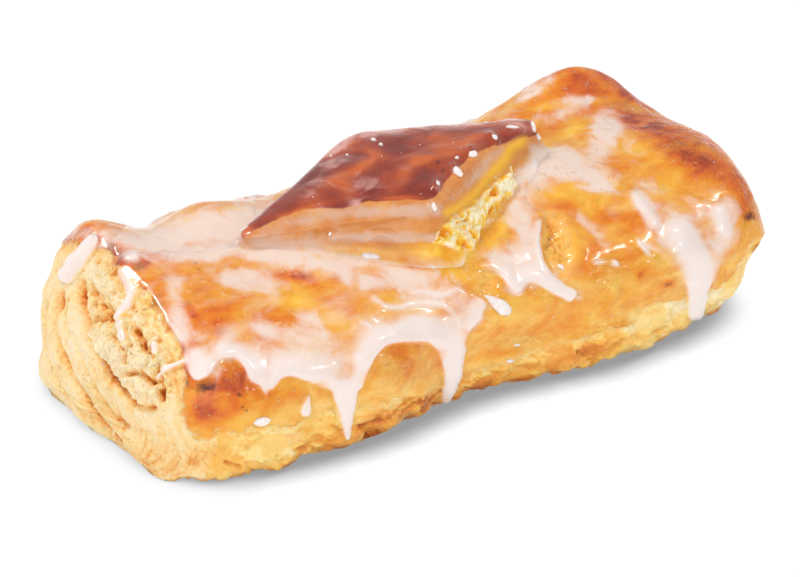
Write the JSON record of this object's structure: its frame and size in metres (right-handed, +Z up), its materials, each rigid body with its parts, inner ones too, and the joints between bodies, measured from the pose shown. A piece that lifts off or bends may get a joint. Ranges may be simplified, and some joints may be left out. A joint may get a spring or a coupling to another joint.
{
  "type": "apple roll",
  "caption": "Oblong apple roll of puff pastry with open folded ends, a dark lozenge of dough baked on top and white icing running down one side.",
  "frame": {"origin": "Middle of the bounding box, at the level of the flat underside", "axes": "+X runs along the roll from the end with the open folds to the far end, +Z is up, and -Y faces the side that the icing runs down"},
  "size_m": [0.1532, 0.0684, 0.0415],
  "materials": {
    "roll": "baked puff pastry crust, golden brown and unevenly glazed",
    "lozenge": "dark baked dough with a shiny glaze"
  },
  "bodies": {
    "root": {"roll": "roll", "lozenge": "lozenge"}
  },
  "joints": []
}
